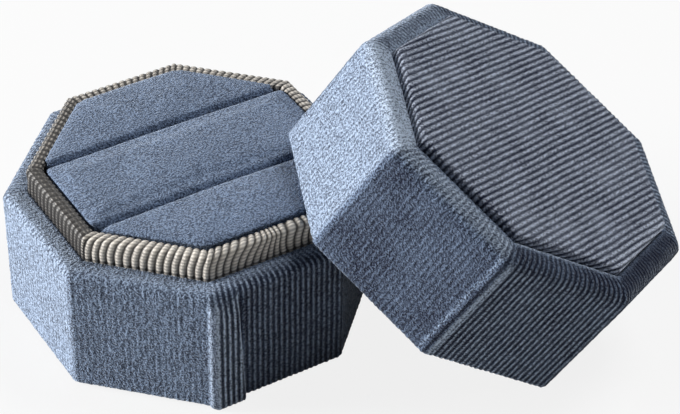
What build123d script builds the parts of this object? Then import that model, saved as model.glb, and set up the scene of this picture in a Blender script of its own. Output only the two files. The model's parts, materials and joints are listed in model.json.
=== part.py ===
"""Octagonal velvet ring box with its lid taken off and leaned on the base.

Millimetres, +Z up. The origin is the centre of the base's underside, and the ring slots run
along X. The base is built round the Z axis, and the lid round its own leaning axis.
"""

from build123d import *
import os
from math import asin, cos, degrees, radians, sin, tan

os.makedirs("parts", exist_ok=True)

# Octagons: half sizes are from the middle to a flat side
SIDES = 8
HALF_TURN_OF_A_SIDE = 180 / SIDES  # from the middle of a side to its corner, degrees

# Base
base_half = 28.0  # 56 mm across the flats
base_height = 23.0  # up to the shoulder that the lid's rim comes down on
floor_thickness = 2.0
wall_thickness = 1.9
underside_sheet = 0.4
underside_margin = 1.6  # the sheet stops this far inside the wall

# Velvet
pile = 1.05  # cloth and pile together, where it lies over a board
turned_cloth = 0.7  # pressed flat where it is turned under
turned_under = 8.0  # width of the margin under the floor
tucked_cloth = 0.8  # pressed between the wall and the collar
tucked_depth = 7.0
corner_round = 1.3
shoulder_round = 1.2
foot_round = 0.7
lap_width = 4.4  # the end of the cloth, lapped past the corner
lap_thickness = 0.5
lap_drop = 0.9  # the lap stops this far short of the shoulder and the foot

# Collar
collar_stand = 4.6  # above the base's shoulder
collar_board = 1.5
ribbon = 0.45
ribbon_round = 0.85
ribbon_depth = 11.0  # how far the ribbon reaches down, from the collar's top

# Cushion
cushion_card = 1.0
cushion_clearance = 0.15
slot_inside_corner = 0.14  # the slots run this far inside the cushion's corners
slot_gap = 0.5
crown_rise = 0.6  # the pads' middles, above the collar's top
crown_radius = 200.0
pad_round = 1.5
pad_cover = 0.9

# Lid
lid_border = 23.0  # rim to the border round the panel, as high as the base
lid_clearance = 0.4  # round the collar
lid_wall_thickness = 2.1
lid_board = 2.0
lid_turned_in = 5.0  # height of the velvet turned in at the rim
lid_rim_cloth = 1.0
lid_rim_round = 0.5
lid_shoulder_round = 2.3
lining = 0.6
lining_card = 1.0
lining_padding = 1.0
lining_round = 0.6
lid_margin = 8.4  # width of the velvet turned over the top board

# Panel let into the lid's top
panel_rise = 1.6  # above the border
panel_sunk = 2.0  # below the border
panel_gap = 0.1  # between the border and the panel
panel_cloth = 0.8
panel_turned = 0.5
panel_turned_width = 5.0
panel_card = 0.8
panel_round = 0.8

# How the lid leans on the base
lean_heading = -35.6  # the way its axis tips, from +X
lean_spin = 17.0  # its turn about its own axis
lean_gap = 0.45  # between its rim and the collar, straight up, or 0.3 at the nearest
lean_along = -6.0  # where it touches the collar's right side, from the middle
lean_side = 135.0  # which side of its rim touches, about its own axis


def octagon_layer(plane, level, thickness, half, hole_half=0.0, mode=Mode.ADD):
    """Extrudes an octagon, or an octagonal ring, in the part that is being built."""
    with BuildSketch(plane.offset(level)) as layer:
        RegularPolygon(half, SIDES, major_radius=False, rotation=HALF_TURN_OF_A_SIDE)
        if hole_half:
            RegularPolygon(
                hole_half, SIDES, major_radius=False, rotation=HALF_TURN_OF_A_SIDE, mode=Mode.SUBTRACT
            )
    extrude(layer.sketch, amount=thickness, mode=mode)


def layer_edges(part, plane, layer_index):
    """The edges of one level of a part, counted along the plane's normal."""
    upwards = Axis(plane.origin, plane.z_dir)
    across = part.edges().filter_by(lambda edge: abs(edge.tangent_at(0.5).dot(plane.z_dir)) < 1e-3)
    return across.group_by(upwards)[layer_index]


def corner_edges(part, plane):
    """The edges at a part's corners, which run along the plane's normal."""
    return part.edges().filter_by(Axis(plane.origin, plane.z_dir))


def corner_reach(half):
    """From an octagon's middle to its corner."""
    return half / cos(radians(HALF_TURN_OF_A_SIDE))


def finish(built, name):
    """Labels a finished piece and writes it."""
    built.part.label = name
    export_step(built.part, f"parts/{name}.step")


# ---------------------------------------------------------------- levels and half sizes, base
floor_level = underside_sheet + turned_cloth
floor_top = floor_level + floor_thickness
board_half = base_half - pile
wall_top = base_height - pile
collar_half = board_half - wall_thickness - tucked_cloth
collar_top = base_height + collar_stand
collar_inner_half = collar_half - collar_board - 2 * ribbon
cushion_half = collar_inner_half - cushion_clearance
pad_bottom = floor_top + cushion_card
pad_top = collar_top + crown_rise

base = Plane.XY

with BuildPart() as base_underside_sheet:
    octagon_layer(base, 0, underside_sheet, base_half - underside_margin)
finish(base_underside_sheet, "base_underside_sheet")

with BuildPart() as base_floor_board:
    octagon_layer(base, floor_level, floor_thickness, board_half)
finish(base_floor_board, "base_floor_board")

with BuildPart() as base_wall_board:
    octagon_layer(base, floor_top, wall_top - floor_top, board_half, board_half - wall_thickness)
finish(base_wall_board, "base_wall_board")

with BuildPart() as base_velvet_wrap:
    octagon_layer(base, underside_sheet, base_height - underside_sheet, base_half)
    fillet(corner_edges(base_velvet_wrap, base), corner_round)
    fillet(layer_edges(base_velvet_wrap, base, -1), shoulder_round)
    fillet(layer_edges(base_velvet_wrap, base, 0), foot_round)
    # The end of the cloth laps round the front corner on to the next side
    corner_x = -base_half * tan(radians(HALF_TURN_OF_A_SIDE))
    with BuildSketch(base.offset(underside_sheet + lap_drop)) as lap_plan:
        with BuildLine():
            Polyline(
                (corner_x, -base_half),
                (corner_x + lap_thickness, -base_half - lap_thickness),
                (corner_x + lap_width, -base_half - lap_thickness),
                (corner_x + lap_width, -base_half + pile / 2),
                (corner_x, -base_half + pile / 2),
                close=True,
            )
        make_face()
    extrude(lap_plan.sketch, amount=base_height - underside_sheet - 2 * lap_drop)
    octagon_layer(base, floor_level, wall_top - floor_level, board_half, mode=Mode.SUBTRACT)
    octagon_layer(base, wall_top, pile, collar_half, mode=Mode.SUBTRACT)
    octagon_layer(base, underside_sheet, turned_cloth, base_half - turned_under, mode=Mode.SUBTRACT)
    octagon_layer(base, wall_top - tucked_depth, tucked_depth, board_half - wall_thickness, collar_half)
finish(base_velvet_wrap, "base_velvet_wrap")

# ------------------------------------------------------------------------------------ collar
with BuildPart() as collar_board_ring:
    board_outer = collar_half - ribbon
    octagon_layer(base, floor_top, collar_top - ribbon - floor_top, board_outer, board_outer - collar_board)
finish(collar_board_ring, "collar_board")

with BuildPart() as collar_ribbon:
    octagon_layer(base, collar_top - ribbon_depth, ribbon_depth, collar_half, collar_inner_half)
    fillet(layer_edges(collar_ribbon, base, -1), ribbon_round)
    add(collar_board_ring.part, mode=Mode.SUBTRACT)
finish(collar_ribbon, "collar_ribbon")

# ----------------------------------------------------------------------------------- cushion
with BuildPart() as cushion_card_sheet:
    octagon_layer(base, floor_top, cushion_card, cushion_half)
finish(cushion_card_sheet, "cushion_card")


def crowned_pad(low_y, high_y, inset):
    """Builds a pad between two lines along X, crowned on top, or its inside at an inset."""
    top = pad_top - inset
    with BuildSketch(base.offset(pad_bottom)) as plan:
        RegularPolygon(cushion_half, SIDES, major_radius=False, rotation=HALF_TURN_OF_A_SIDE)
        with Locations((0, (low_y + high_y) / 2)):
            Rectangle(2 * cushion_half, high_y - low_y, mode=Mode.INTERSECT)
        if inset:
            offset(amount=-inset, kind=Kind.INTERSECTION)
    extrude(plan.sketch, amount=top - pad_bottom)
    with Locations((0, (low_y + high_y) / 2, top - crown_radius)):
        Sphere(crown_radius, mode=Mode.INTERSECT)


slot_from_middle = cushion_half * tan(radians(HALF_TURN_OF_A_SIDE)) - slot_inside_corner
slot_far_edge = slot_from_middle + slot_gap / 2
slot_near_edge = slot_from_middle - slot_gap / 2
pad_ranges = {
    "back": (slot_far_edge, cushion_half),
    "middle": (-slot_near_edge, slot_near_edge),
    "front": (-cushion_half, -slot_far_edge),
}
for pad_name, (low_y, high_y) in pad_ranges.items():
    with BuildPart() as pad_foam:
        crowned_pad(low_y, high_y, pad_cover)
        fillet(pad_foam.faces().sort_by(Axis.Z)[-1].edges(), pad_round - pad_cover)
    finish(pad_foam, f"cushion_{pad_name}_foam")
    with BuildPart() as pad_velvet:
        crowned_pad(low_y, high_y, 0)
        fillet(pad_velvet.faces().sort_by(Axis.Z)[-1].edges(), pad_round)
        add(pad_foam.part, mode=Mode.SUBTRACT)
    finish(pad_velvet, f"cushion_{pad_name}_cover")

# --------------------------------------------------------------------------- where the lid is
lid_inner_half = collar_half + lid_clearance
lid_board_inner = lid_inner_half + lining
lid_board_outer = lid_board_inner + lid_wall_thickness
lid_half = lid_board_outer + pile

# The lid stands on one corner of its rim, and a side of its rim rests on the collar's right
# side, at the middle of the collar's rounded edge. Its tilt follows from those two.
edge_drop = ribbon_round * (1 - cos(radians(45)))
rest_point = Vector(collar_half - edge_drop, lean_along, collar_top - edge_drop + lean_gap)
corner_turn = radians(lean_spin - HALF_TURN_OF_A_SIDE)
corner_ahead = corner_reach(lid_half - corner_round) * cos(corner_turn) + corner_round
side_behind = lid_inner_half * cos(radians(lean_spin + lean_side))
sharp_tilt = asin(rest_point.Z / (corner_ahead - side_behind))
rim_lift = lid_rim_round * (sin(sharp_tilt) + cos(sharp_tilt) - 1)
tilt = degrees(asin((rest_point.Z + rim_lift) / (corner_ahead - side_behind)))
lean = Plane(Location((0, 0, 0), (lean_heading, tilt, lean_spin), Intrinsic.ZYZ))
rim_touch = lean.from_local_coords(Vector(lid_inner_half, 0, 0).rotate(Axis.Z, lean_side))
lid = Plane(origin=rest_point - rim_touch, x_dir=lean.x_dir, z_dir=lean.z_dir)
print("lid tilt", round(tilt, 2), "axis", lid.z_dir, "rim middle", lid.origin)

# --------------------------------------------------------------------------------------- lid
lid_recess = lid_border - panel_sunk
recess_half = lid_board_inner - pile
wall_board_top = lid_border - pile
top_board_top = lid_recess - pile
top_board_level = top_board_top - lid_board

with BuildPart() as lid_velvet_wrap:
    octagon_layer(lid, 0, lid_border, lid_half)
    fillet(corner_edges(lid_velvet_wrap, lid), corner_round)
    fillet(layer_edges(lid_velvet_wrap, lid, -1), lid_shoulder_round)
    fillet(layer_edges(lid_velvet_wrap, lid, 0), lid_rim_round)
    octagon_layer(lid, 0, lid_rim_cloth, lid_inner_half, mode=Mode.SUBTRACT)
    wall_depth = wall_board_top - lid_rim_cloth
    octagon_layer(lid, lid_rim_cloth, wall_depth, lid_board_outer, lid_board_inner, mode=Mode.SUBTRACT)
    octagon_layer(lid, lid_rim_cloth, top_board_top - lid_rim_cloth, lid_board_inner, mode=Mode.SUBTRACT)
    octagon_layer(lid, lid_recess, panel_sunk, recess_half, mode=Mode.SUBTRACT)
    octagon_layer(lid, top_board_top, pile, lid_half - lid_margin, mode=Mode.SUBTRACT)
    octagon_layer(lid, lid_rim_cloth, lid_turned_in - lid_rim_cloth, lid_board_inner, lid_inner_half)
finish(lid_velvet_wrap, "lid_velvet_wrap")

with BuildPart() as lid_wall_board:
    octagon_layer(lid, lid_rim_cloth, wall_depth, lid_board_outer, lid_board_inner)
finish(lid_wall_board, "lid_wall_board")

with BuildPart() as lid_top_board:
    octagon_layer(lid, top_board_level, lid_board, lid_board_inner)
finish(lid_top_board, "lid_top_board")

with BuildPart() as lid_lining_strip:
    octagon_layer(lid, lid_turned_in, top_board_level - lid_turned_in, lid_board_inner, lid_inner_half)
finish(lid_lining_strip, "lid_lining_strip")

with BuildPart() as lid_lining_card:
    octagon_layer(lid, top_board_level - lining_card, lining_card, lid_inner_half - lining)
finish(lid_lining_card, "lid_lining_card")

with BuildPart() as lid_lining_cover:
    lining_depth = lining_card + lining_padding
    octagon_layer(lid, top_board_level - lining_depth, lining_depth, lid_inner_half)
    fillet(layer_edges(lid_lining_cover, lid, 0), lining_round)
    add(lid_lining_card.part, mode=Mode.SUBTRACT)
finish(lid_lining_cover, "lid_lining_cover")

# ------------------------------------------------------------- panel let into the lid's top
panel_half = recess_half - panel_gap
panel_card_half = panel_half - panel_cloth
panel_card_level = lid_recess + panel_turned
wadding_level = panel_card_level + panel_card
wadding_top = lid_border + panel_rise - panel_cloth

with BuildPart() as lid_panel_card:
    octagon_layer(lid, panel_card_level, panel_card, panel_card_half)
finish(lid_panel_card, "lid_panel_card")

with BuildPart() as lid_panel_wadding:
    octagon_layer(lid, wadding_level, wadding_top - wadding_level, panel_card_half)
finish(lid_panel_wadding, "lid_panel_wadding")

with BuildPart() as lid_panel_cloth:
    octagon_layer(lid, lid_recess, panel_sunk + panel_rise, panel_half)
    fillet(corner_edges(lid_panel_cloth, lid), corner_round)
    fillet(layer_edges(lid_panel_cloth, lid, -1), panel_round)
    turned_hole = panel_card_half - panel_turned_width
    octagon_layer(lid, lid_recess, panel_turned, turned_hole, mode=Mode.SUBTRACT)
    octagon_layer(lid, panel_card_level, wadding_top - panel_card_level, panel_card_half, mode=Mode.SUBTRACT)
finish(lid_panel_cloth, "lid_panel_cloth")
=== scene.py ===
"""Looks of an octagonal velvet ring box, its lid taken off and leaned on the base.

Metres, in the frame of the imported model. The base stands on the floor round the Z axis. The lid is
built round the Z axis too, and its matrix then turns its meshes to where it leans.
"""

import json
import logging
import math
from dataclasses import dataclass, field
from enum import Enum

import bmesh
import bpy
from mathutils import Matrix, Vector, noise

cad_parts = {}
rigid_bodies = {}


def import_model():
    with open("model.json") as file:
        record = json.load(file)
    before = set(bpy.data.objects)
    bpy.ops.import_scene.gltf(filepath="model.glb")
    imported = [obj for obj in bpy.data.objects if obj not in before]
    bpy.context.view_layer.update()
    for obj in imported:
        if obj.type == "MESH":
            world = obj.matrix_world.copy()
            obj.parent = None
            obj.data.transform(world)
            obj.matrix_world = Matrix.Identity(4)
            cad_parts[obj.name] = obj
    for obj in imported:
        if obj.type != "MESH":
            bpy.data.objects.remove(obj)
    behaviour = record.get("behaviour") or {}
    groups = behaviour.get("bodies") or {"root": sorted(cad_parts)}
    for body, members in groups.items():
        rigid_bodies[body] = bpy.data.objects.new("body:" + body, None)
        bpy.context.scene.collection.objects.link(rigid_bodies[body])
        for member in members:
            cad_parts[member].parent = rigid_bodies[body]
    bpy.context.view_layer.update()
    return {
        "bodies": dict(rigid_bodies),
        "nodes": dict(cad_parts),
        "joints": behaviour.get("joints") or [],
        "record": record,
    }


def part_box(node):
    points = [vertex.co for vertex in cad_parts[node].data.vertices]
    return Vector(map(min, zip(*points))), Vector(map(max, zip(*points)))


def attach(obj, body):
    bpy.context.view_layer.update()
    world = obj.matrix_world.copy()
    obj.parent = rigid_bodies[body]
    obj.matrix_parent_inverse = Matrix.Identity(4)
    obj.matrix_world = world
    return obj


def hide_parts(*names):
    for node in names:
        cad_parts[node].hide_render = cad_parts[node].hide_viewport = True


LOG = logging.getLogger("ring_box")
MM = 0.001
SIDES = 8
SECTOR = 2 * math.pi / SIDES


# ------------------------------------------------------------------------------------- maths
def smooth_step(low: float, high: float, value: float) -> float:
    """Rises smoothly from 0 at low to 1 at high."""
    share = min(1.0, max(0.0, (value - low) / (high - low)))
    return share * share * (3 - 2 * share)


def bump_at(middle: float, width: float, value: float) -> float:
    """A bell of height 1 round a middle, of that half width."""
    return math.exp(-(((value - middle) / width) ** 2))


def octagon_corner(half: float) -> float:
    """How far a corner lies along its side from the side's middle."""
    return half * math.tan(SECTOR / 2)


def round_octagon(turn: float, half: float, corner: float) -> tuple[float, float]:
    """A point on an octagon with rounded corners.

    Args:
        turn: share of the way round, from the middle of the +X side.
        half: from the middle to a flat side.
        corner: radius of the rounded corners.

    Returns:
        The point's x and y.
    """
    side = math.floor(turn * SIDES + 0.5)
    across = 2 * (turn * SIDES - side)
    reach = octagon_corner(half)
    tangent = octagon_corner(corner)
    gap = reach * (1 - abs(across))
    if gap < tangent:
        angle = SECTOR / 2 * (1 - gap / tangent)
        x = half - corner + corner * math.cos(angle)
        y = octagon_corner(half - corner) + corner * math.sin(angle)
    else:
        x, y = half, reach - gap
    y = math.copysign(y, across)
    heading = side * SECTOR
    return (
        x * math.cos(heading) - y * math.sin(heading),
        x * math.sin(heading) + y * math.cos(heading),
    )


# --------------------------------------------------------------------------------- materials
def linear(colour: str) -> tuple[float, float, float, float]:
    """Turns an sRGB hex colour to linear, with full alpha."""
    parts = [int(colour[i : i + 2], 16) / 255 for i in (1, 3, 5)]
    turned = [c / 12.92 if c <= 0.04045 else ((c + 0.055) / 1.055) ** 2.4 for c in parts]
    return (*turned, 1.0)


def add_node(
    tree: bpy.types.NodeTree,
    kind: str,
    settings: dict | None = None,
    inputs: dict | None = None,
) -> bpy.types.Node:
    """Adds a node with its settings and inputs.

    Args:
        tree: the node tree that gets it.
        kind: Blender's name for the node.
        settings: attributes of the node.
        inputs: for each input, by name or number, a value or the socket that feeds it.

    Returns:
        The new node.
    """
    node = tree.nodes.new(kind)
    for name, value in (settings or {}).items():
        setattr(node, name, value)
    for name, value in (inputs or {}).items():
        if isinstance(value, bpy.types.NodeSocket):
            tree.links.new(value, node.inputs[name])
        else:
            node.inputs[name].default_value = value
    return node


def new_material(name: str) -> tuple[bpy.types.Material, bpy.types.NodeTree, bpy.types.Node]:
    """Makes a material with one Principled shader, and gives it, its tree and the shader."""
    material = bpy.data.materials.new(name)
    material.use_nodes = True
    tree = material.node_tree
    tree.nodes.clear()
    shader = add_node(tree, "ShaderNodeBsdfPrincipled")
    add_node(tree, "ShaderNodeOutputMaterial", inputs={"Surface": shader.outputs[0]})
    return material, tree, shader


@dataclass(frozen=True)
class PileFinish:
    """Cut pile on woven cloth: the crests catch the light, and the ground between them is dark, partly
    from painted shade.
    """

    name: str
    crest: str
    # Dark colour between the wales: the cloth's ground, with painted shade
    shaded_ground: str
    # Pale colour of a painted sheen on the crests
    painted_sheen: str
    sheen_tint: str
    # Single fibres are too fine to show, so the pile is drawn as tufts of this width
    tuft_mm: float = 0.3
    tuft_depth: float = 0.9
    tuft_blur: float = 0.09
    patch_mm: float = 7.0
    patch_depth: float = 0.08
    painted_sheen_gain: float = 1.3
    painted_sheen_least: float = 0.35
    sheen: float = 0.6
    sheen_roughness: float = 0.4
    bump_mm: float = 0.3

    def material(self) -> bpy.types.Material:
        """Builds the material.

        Returns:
            A matt cloth with tufts from two sizes of noise, a darker ground between the wales that is
            partly painted shade, and painted light from the piece's own attributes: a painted sheen that
            lightens the crests, and painted shade that darkens them.
        """
        material, tree, shader = new_material(self.name)
        place = add_node(tree, "ShaderNodeTexCoord").outputs["Object"]
        tufts = add_node(
            tree,
            "ShaderNodeTexNoise",
            inputs={"Vector": place, "Scale": 1 / (self.tuft_mm * MM), "Detail": 1.5, "Roughness": 0.6},
        )
        patches = add_node(
            tree,
            "ShaderNodeTexNoise",
            inputs={"Vector": place, "Scale": 1 / (self.patch_mm * MM), "Detail": 3.0, "Roughness": 0.5},
        )
        spread = add_node(
            tree,
            "ShaderNodeMapRange",
            inputs={
                "Value": tufts.outputs["Fac"],
                "From Min": 0.5 - self.tuft_blur,
                "From Max": 0.5 + self.tuft_blur,
            },
        )
        patch = add_node(
            tree,
            "ShaderNodeMapRange",
            inputs={
                "Value": patches.outputs["Fac"],
                "From Min": 0.3,
                "From Max": 0.7,
                "To Min": -self.patch_depth,
                "To Max": self.patch_depth,
            },
        )
        # The ridge attribute carries painted shade between the wales and on shaded sides
        ridge = add_node(tree, "ShaderNodeAttribute", {"attribute_name": "ridge"})
        painted_light = add_node(tree, "ShaderNodeAttribute", {"attribute_name": "painted_light"})
        depth = add_node(
            tree,
            "ShaderNodeMath",
            {"operation": "MULTIPLY_ADD"},
            {0: spread.outputs[0], 1: self.tuft_depth, 2: 1 - self.tuft_depth},
        )
        lit = add_node(
            tree,
            "ShaderNodeMath",
            {"operation": "MULTIPLY", "use_clamp": True},
            {0: depth.outputs[0], 1: ridge.outputs["Fac"]},
        )
        lifted = add_node(
            tree,
            "ShaderNodeMath",
            {"operation": "ADD", "use_clamp": True},
            {0: lit.outputs[0], 1: patch.outputs[0]},
        )
        base = add_node(
            tree,
            "ShaderNodeMix",
            {"data_type": "RGBA"},
            {"Factor": lifted.outputs[0], 6: linear(self.shaded_ground), 7: linear(self.crest)},
        )
        specked = add_node(
            tree,
            "ShaderNodeMath",
            {"operation": "MULTIPLY_ADD"},
            {0: spread.outputs[0], 1: self.painted_sheen_gain, 2: self.painted_sheen_least},
        )
        # Painted sheen: the painted light attribute mixes the crests towards the pale colour
        painted_sheen_on_crest = add_node(
            tree,
            "ShaderNodeMath",
            {"operation": "MULTIPLY"},
            {0: painted_light.outputs["Fac"], 1: ridge.outputs["Fac"]},
        )
        painted_sheen_share = add_node(
            tree,
            "ShaderNodeMath",
            {"operation": "MULTIPLY", "use_clamp": True},
            {0: specked.outputs[0], 1: painted_sheen_on_crest.outputs[0]},
        )
        painted_sheen = add_node(
            tree,
            "ShaderNodeMix",
            {"data_type": "RGBA"},
            {"Factor": painted_sheen_share.outputs[0], 6: base.outputs[2], 7: linear(self.painted_sheen)},
        )
        bump = add_node(
            tree,
            "ShaderNodeBump",
            inputs={"Height": tufts.outputs["Fac"], "Distance": self.bump_mm * MM, "Strength": 1.0},
        )
        tree.links.new(painted_sheen.outputs[2], shader.inputs["Base Color"])
        tree.links.new(bump.outputs[0], shader.inputs["Normal"])
        shader.inputs["Roughness"].default_value = 0.95
        shader.inputs["Specular IOR Level"].default_value = 0.15
        shader.inputs["Sheen Weight"].default_value = self.sheen
        shader.inputs["Sheen Roughness"].default_value = self.sheen_roughness
        shader.inputs["Sheen Tint"].default_value = linear(self.sheen_tint)
        return material


@dataclass(frozen=True)
class RibbonFinish:
    """Ribbed ribbon: pale rayon threads wound across each rib, with the dark core in the gaps darkened
    further by painted shade.
    """

    name: str
    thread: str
    gap: str
    thread_mm: float = 0.62
    stain_mm: float = 1.1
    bump_mm: float = 0.05

    def material(self) -> bpy.types.Material:
        """Builds the material, with threads across the ribs from the piece's UV map."""
        material, tree, shader = new_material(self.name)
        cloth = add_node(tree, "ShaderNodeUVMap", {"uv_map": "cloth"}).outputs[0]
        place = add_node(tree, "ShaderNodeTexCoord").outputs["Object"]
        # At a scale of 1 the wave's bands lie pi / 10 apart
        thread_scale = math.pi / 10 / (self.thread_mm * MM)
        threads = add_node(
            tree,
            "ShaderNodeTexWave",
            {"bands_direction": "Y"},
            {"Vector": cloth, "Scale": thread_scale, "Distortion": 1.0, "Detail": 1.0},
        )
        stain = add_node(
            tree,
            "ShaderNodeTexNoise",
            inputs={"Vector": place, "Scale": 1 / (self.stain_mm * MM), "Detail": 3.0},
        )
        ridge = add_node(tree, "ShaderNodeAttribute", {"attribute_name": "ridge"})
        painted_light = add_node(tree, "ShaderNodeAttribute", {"attribute_name": "painted_light"})
        lines = add_node(
            tree,
            "ShaderNodeMapRange",
            inputs={"Value": threads.outputs["Fac"], "To Min": 0.5, "To Max": 1.0},
        )
        wear = add_node(
            tree,
            "ShaderNodeMapRange",
            inputs={
                "Value": stain.outputs["Fac"],
                "From Min": 0.3,
                "From Max": 0.7,
                "To Min": 0.82,
                "To Max": 1.0,
            },
        )
        worn = add_node(
            tree, "ShaderNodeMath", {"operation": "MULTIPLY"}, {0: lines.outputs[0], 1: wear.outputs[0]}
        )
        shown = add_node(
            tree,
            "ShaderNodeMath",
            {"operation": "MULTIPLY", "use_clamp": True},
            {0: worn.outputs[0], 1: ridge.outputs["Fac"]},
        )
        # Painted shade from the painted light attribute darkens whole sides and the foot of the ribbon
        shaded = add_node(
            tree,
            "ShaderNodeMath",
            {"operation": "SUBTRACT", "use_clamp": True},
            {0: shown.outputs[0], 1: painted_light.outputs["Fac"]},
        )
        colour = add_node(
            tree,
            "ShaderNodeMix",
            {"data_type": "RGBA"},
            {"Factor": shaded.outputs[0], 6: linear(self.gap), 7: linear(self.thread)},
        )
        bump = add_node(
            tree,
            "ShaderNodeBump",
            inputs={"Height": threads.outputs["Fac"], "Distance": self.bump_mm * MM},
        )
        tree.links.new(colour.outputs[2], shader.inputs["Base Color"])
        tree.links.new(bump.outputs[0], shader.inputs["Normal"])
        shader.inputs["Roughness"].default_value = 0.5
        shader.inputs["Sheen Weight"].default_value = 0.1
        return material


@dataclass(frozen=True)
class SheetFinish:
    """A plain sheet good: board, card, foam, lining or flocked paper, with its own grain."""

    name: str
    colour: str
    fleck: str
    grain_mm: float
    roughness: float = 0.85
    sheen: float = 0.0
    bump_mm: float = 0.03

    def material(self) -> bpy.types.Material:
        """Builds the material, flecked by noise at the grain's size."""
        material, tree, shader = new_material(self.name)
        place = add_node(tree, "ShaderNodeTexCoord").outputs["Object"]
        grain = add_node(
            tree,
            "ShaderNodeTexNoise",
            inputs={"Vector": place, "Scale": 1 / (self.grain_mm * MM), "Detail": 4.0, "Roughness": 0.65},
        )
        spread = add_node(
            tree,
            "ShaderNodeMapRange",
            inputs={"Value": grain.outputs["Fac"], "From Min": 0.35, "From Max": 0.65},
        )
        colour = add_node(
            tree,
            "ShaderNodeMix",
            {"data_type": "RGBA"},
            {"Factor": spread.outputs[0], 6: linear(self.fleck), 7: linear(self.colour)},
        )
        bump = add_node(
            tree,
            "ShaderNodeBump",
            inputs={"Height": grain.outputs["Fac"], "Distance": self.bump_mm * MM},
        )
        tree.links.new(colour.outputs[2], shader.inputs["Base Color"])
        tree.links.new(bump.outputs[0], shader.inputs["Normal"])
        shader.inputs["Roughness"].default_value = self.roughness
        shader.inputs["Sheen Weight"].default_value = self.sheen
        return material


class Finish(Enum):
    """Every finish on the box."""

    # Cotton needlecord: matt, light at grazing angles, with a dark ground between its wales that is partly
    # painted shade, and a pale colour for painted sheen on its crests
    WRAP = PileFinish("blue_needlecord", "#8497B3", "#151A2E", "#C3D3E8", "#DCE6F2")
    # The same cord on the lid's panel, greyer and with much paler crests: a painted sheen, as its pile is
    # brushed towards the viewer
    PANEL = PileFinish("panel_needlecord", "#D4E0F6", "#1A2139", "#DDE7FA", "#DCE6F2", tuft_depth=0.88)
    # Short velvet without wales, over foam
    CUSHION = PileFinish("short_velvet", "#8A9DBA", "#1F293D", "#A9B7CA", "#DCE6F2", tuft_depth=0.8)
    # Wound rayon: its threads shine a little, and the core shows dark between the ribs, darkened further
    # by painted shade
    RIBBON = RibbonFinish("rayon_rib_ribbon", "#F0E8DC", "#1B1714")
    # Pressed waste paper: dull grey-brown with short flecks
    BOARD = SheetFinish("greyboard", "#8C8275", "#6E665B", 0.5)
    # Card with a bleached face: smoother and paler than the boards
    CARD = SheetFinish("white_lined_card", "#C9C2B4", "#B3AB9B", 0.3)
    # Close satin weave: smooth, with a soft shine
    LINING = SheetFinish("cream_sateen", "#CFC7B8", "#BDB4A3", 0.25, 0.45, 0.3)
    # Paper with short fibres glued on: dark and without shine
    UNDERSIDE = SheetFinish("flocked_paper", "#1F2636", "#141926", 0.3, 0.95, 0.3)

    @property
    def material(self) -> bpy.types.Material:
        """The finish's material, made once."""
        return bpy.data.materials.get(self.value.name) or self.value.material()


# ------------------------------------------------------------------------------------ meshes
@dataclass
class Profile:
    """A closed section to wrap round the Z axis: points of half size and level, in millimetres."""

    points: list[tuple[float, float]] = field(default_factory=list)

    def line(self, half: float, level: float, step: float = 1e9) -> "Profile":
        """Goes straight to a point, with points between them no further apart than a step.

        Args:
            half: the point's half size.
            level: the point's level.
            step: greatest distance between points.

        Returns:
            The profile itself.
        """
        if self.points:
            from_half, from_level = self.points[-1]
            count = max(1, math.ceil(math.hypot(half - from_half, level - from_level) / step))
            for i in range(1, count):
                share = i / count
                self.points.append(
                    (from_half + (half - from_half) * share, from_level + (level - from_level) * share)
                )
        self.points.append((half, level))
        return self

    def arc(self, half: float, level: float, radius: float, start: float, steps: int) -> "Profile":
        """Adds a quarter turn, anticlockwise.

        Args:
            half: half size of the arc's middle.
            level: level of the arc's middle.
            radius: its radius.
            start: the angle that it starts at, in degrees, from outwards.
            steps: how many parts it is cut into.

        Returns:
            The profile itself.
        """
        for i in range(steps + 1):
            angle = math.radians(start + 90 * i / steps)
            point = (half + radius * math.cos(angle), level + radius * math.sin(angle))
            if not self.points or math.dist(self.points[-1], point) > 1e-4:
                self.points.append(point)
        return self


@dataclass
class Spot:
    """Where a vertex of a cloth lies, in millimetres."""

    turn: float
    along: float
    half: float
    level: float


def wrap_cloth(profile: Profile, columns: int, corner: float) -> tuple[bmesh.types.BMesh, list[Spot]]:
    """Wraps a closed section round the Z axis, as a ring with the octagon's sides.

    Args:
        profile: the section.
        columns: how many steps the turn has, a multiple of the sides.
        corner: radius of the outermost corners, in millimetres.

    Returns:
        The mesh in millimetres, and each vertex's place in the cloth.
    """
    rows = [*profile.points, profile.points[0]]
    alongs = [0.0]
    for start, end in zip(rows, rows[1:]):
        alongs.append(alongs[-1] + math.dist(start, end))
    widest = max(half for half, _ in rows)
    bm = bmesh.new()
    along_layer = bm.verts.layers.float.new("along")
    turn_layer = bm.verts.layers.float.new("turn")
    half_layer = bm.verts.layers.float.new("half")
    bmesh.ops.create_grid(bm, x_segments=columns, y_segments=len(rows) - 1, size=0.5)
    for vert in bm.verts:
        turn = vert.co.x + 0.5
        row = round((vert.co.y + 0.5) * (len(rows) - 1))
        half, level = rows[row]
        vert[turn_layer], vert[half_layer], vert[along_layer] = turn, half, alongs[row]
        vert.co = (*round_octagon(turn, half, max(0.25, corner - (widest - half))), level)
    bmesh.ops.remove_doubles(bm, verts=bm.verts, dist=1e-4)
    bmesh.ops.recalc_face_normals(bm, faces=bm.faces)
    bm.normal_update()
    spots = [Spot(v[turn_layer], v[along_layer], v[half_layer], v.co.z) for v in bm.verts]
    return bm, spots


def wale(phase: float, sharpness: float = 2.4) -> float:
    """Height of a wale or rib, from 0 in the gap to 1 on the crest, for a phase counted in wales."""
    side = abs(2 * (phase % 1.0) - 1)
    return 1 - side**sharpness


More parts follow.
